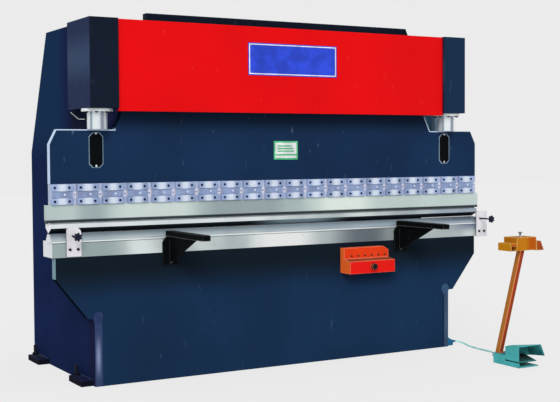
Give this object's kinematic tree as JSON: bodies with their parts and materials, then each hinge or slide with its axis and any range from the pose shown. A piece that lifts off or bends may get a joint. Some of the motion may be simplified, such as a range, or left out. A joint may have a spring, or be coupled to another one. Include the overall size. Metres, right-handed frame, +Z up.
{
  "type": "hydraulic press brake",
  "caption": "Hydraulic press brake: C side frames, moving ram with clamped punch over a long die on a fixed bed, red upper cover, support arms, tool box and cabled foot pedal station.",
  "frame": {"origin": "on the floor at the centre of the four anchor bolt holes", "axes": "+X along the table to the operator's right, -Y towards the operator, +Z up"},
  "size_m": [4.137, 2.6417, 2.83],
  "materials": {
    "navy_paint": "gloss machine enamel",
    "dark_paint": "gloss machine enamel",
    "red_paint": "gloss enamel",
    "orange_paint": "gloss enamel",
    "plate_blue": "gloss",
    "sign_green": "satin",
    "ground_steel": "ground",
    "clamp_steel": "ground",
    "screw_steel": "blackened",
    "bolt_steel": "zinc plated",
    "machined_steel": "machined",
    "chrome": "hard chrome",
    "bronze": "machined",
    "grey_paint": "painted casting",
    "black_paint": "satin",
    "black_plastic": "satin",
    "amber_paint": "gloss enamel",
    "brown_paint": "gloss enamel",
    "grey_plastic": "gloss",
    "red_plastic": "gloss",
    "teal_paint": "cast and painted",
    "blue_plastic": "satin",
    "cable_sheath": "smooth sheath"
  },
  "bodies": {
    "frame": {"side_frame_left": "navy_paint", "side_frame_right": "navy_paint", "bed_plate": "navy_paint", "bed_web": "navy_paint", "tie_beam": "navy_paint", "floor_pads": "navy_paint", "levelling_bolts": "screw_steel", "oil_tank": "navy_paint", "tank_lid": "navy_paint", "motor_pump": "grey_paint", "valve_block": "machined_steel", "oil_pipes": "machined_steel", "cylinders": "machined_steel", "gland_rings": "machined_steel", "gland_bolts": "bolt_steel", "housing_covers": "dark_paint", "front_cover": "red_paint", "roof_plate": "navy_paint", "top_cover": "dark_paint", "name_plate": "plate_blue", "guide_liners": "bronze", "guide_keepers": "machined_steel", "shaft_bearings": "machined_steel", "die_rail": "ground_steel", "die": "ground_steel", "end_brackets": "clamp_steel", "bracket_screws": "screw_steel", "tool_box": "orange_paint", "gauge_rails": "machined_steel", "pedal_base": "teal_paint", "pedal_hood": "teal_paint", "post": "brown_paint", "console_head": "amber_paint", "cable_outlet": "blue_plastic", "cable": "cable_sheath"},
    "ram_body": {"ram": "navy_paint", "piston_rods": "chrome", "sign_plate": "sign_green", "window_covers": "black_paint", "window_screws": "bolt_steel", "clamp_bodies": "clamp_steel", "clamp_plates": "clamp_steel", "clamp_wedges": "clamp_steel", "upper_screws": "screw_steel", "lower_screws": "screw_steel", "punch_holder": "ground_steel", "punch": "ground_steel"},
    "sync_shaft": {"torsion_shaft": "machined_steel"},
    "gauge": {"gauge_beam": "machined_steel", "gauge_fingers": "machined_steel"},
    "gauge_screw_l": {"gauge_screw_left": "machined_steel"},
    "gauge_screw_r": {"gauge_screw_right": "machined_steel"},
    "arm_l": {"arm_left": "black_paint"},
    "arm_r": {"arm_right": "black_paint"},
    "knob_l": {"knob_left": "black_plastic"},
    "knob_r": {"knob_right": "black_plastic"},
    "drawer_body": {"drawer": "red_paint"},
    "pedal_treadle": {"treadle": "teal_paint"},
    "stop": {"stop_button": "grey_plastic"},
    "push": {"push_button": "red_plastic"}
  },
  "joints": [
    {"name": "ram_slide", "type": "slide", "parent": "frame", "child": "ram_body", "axis": [0, 0, 1], "range_m": [0, 0.1]},
    {"name": "sync_turn", "type": "hinge", "parent": "frame", "child": "sync_shaft", "pos_m": [0, -0.385, 1.8], "axis": [1, 0, 0], "range_deg": [-29, 0.2]},
    {"name": "gauge_slide", "type": "slide", "parent": "frame", "child": "gauge", "axis": [0, 1, 0], "range_m": [-0.1, 0.3]},
    {"name": "gauge_turn_left", "type": "hinge", "parent": "frame", "child": "gauge_screw_l", "pos_m": [-0.7, -0.11, 0.978], "axis": [0, 1, 0], "range_deg": [-1801, 5401]},
    {"name": "gauge_turn_right", "type": "hinge", "parent": "frame", "child": "gauge_screw_r", "pos_m": [0.7, -0.11, 0.978], "axis": [0, 1, 0], "range_deg": [-1801, 5401]},
    {"name": "arm_left_slide", "type": "slide", "parent": "frame", "child": "arm_l", "axis": [1, 0, 0], "range_m": [-0.6, 0.8]},
    {"name": "arm_right_slide", "type": "slide", "parent": "frame", "child": "arm_r", "axis": [1, 0, 0], "range_m": [-0.07, 0.6]},
    {"name": "knob_left_turn", "type": "hinge", "parent": "frame", "child": "knob_l", "pos_m": [-1.845, -0.76, 1.148], "axis": [0, 1, 0], "range_deg": [-360, 360]},
    {"name": "knob_right_turn", "type": "hinge", "parent": "frame", "child": "knob_r", "pos_m": [2.025, -0.81, 1.148], "axis": [0, 1, 0], "range_deg": [-360, 360]},
    {"name": "drawer_slide", "type": "slide", "parent": "frame", "child": "drawer_body", "axis": [0, -1, 0], "range_m": [0, 0.115]},
    {"name": "treadle_press", "type": "hinge", "parent": "frame", "child": "pedal_treadle", "pos_m": [1.617, -1.651, 0.06], "axis": [1, 0, 0], "range_deg": [0, 8], "stiffness_Nm_per_rad": 20, "springref_deg": -11.46},
    {"name": "stop_press", "type": "slide", "parent": "frame", "child": "stop", "axis": [0, 0, -1], "range_m": [0, 0.006], "stiffness_N_per_m": 800, "springref_m": -0.004},
    {"name": "push_press", "type": "slide", "parent": "frame", "child": "push", "axis": [1, 0, 0], "range_m": [0, 0.005], "stiffness_N_per_m": 500, "springref_m": -0.002}
  ],
  "couplings": [
    {"joint": "sync_turn", "follows": "ram_slide", "rad_per_m": -5.0204},
    {"joint": "gauge_turn_left", "follows": "gauge_slide", "rad_per_m": 314.16},
    {"joint": "gauge_turn_right", "follows": "gauge_slide", "rad_per_m": 314.16}
  ]
}
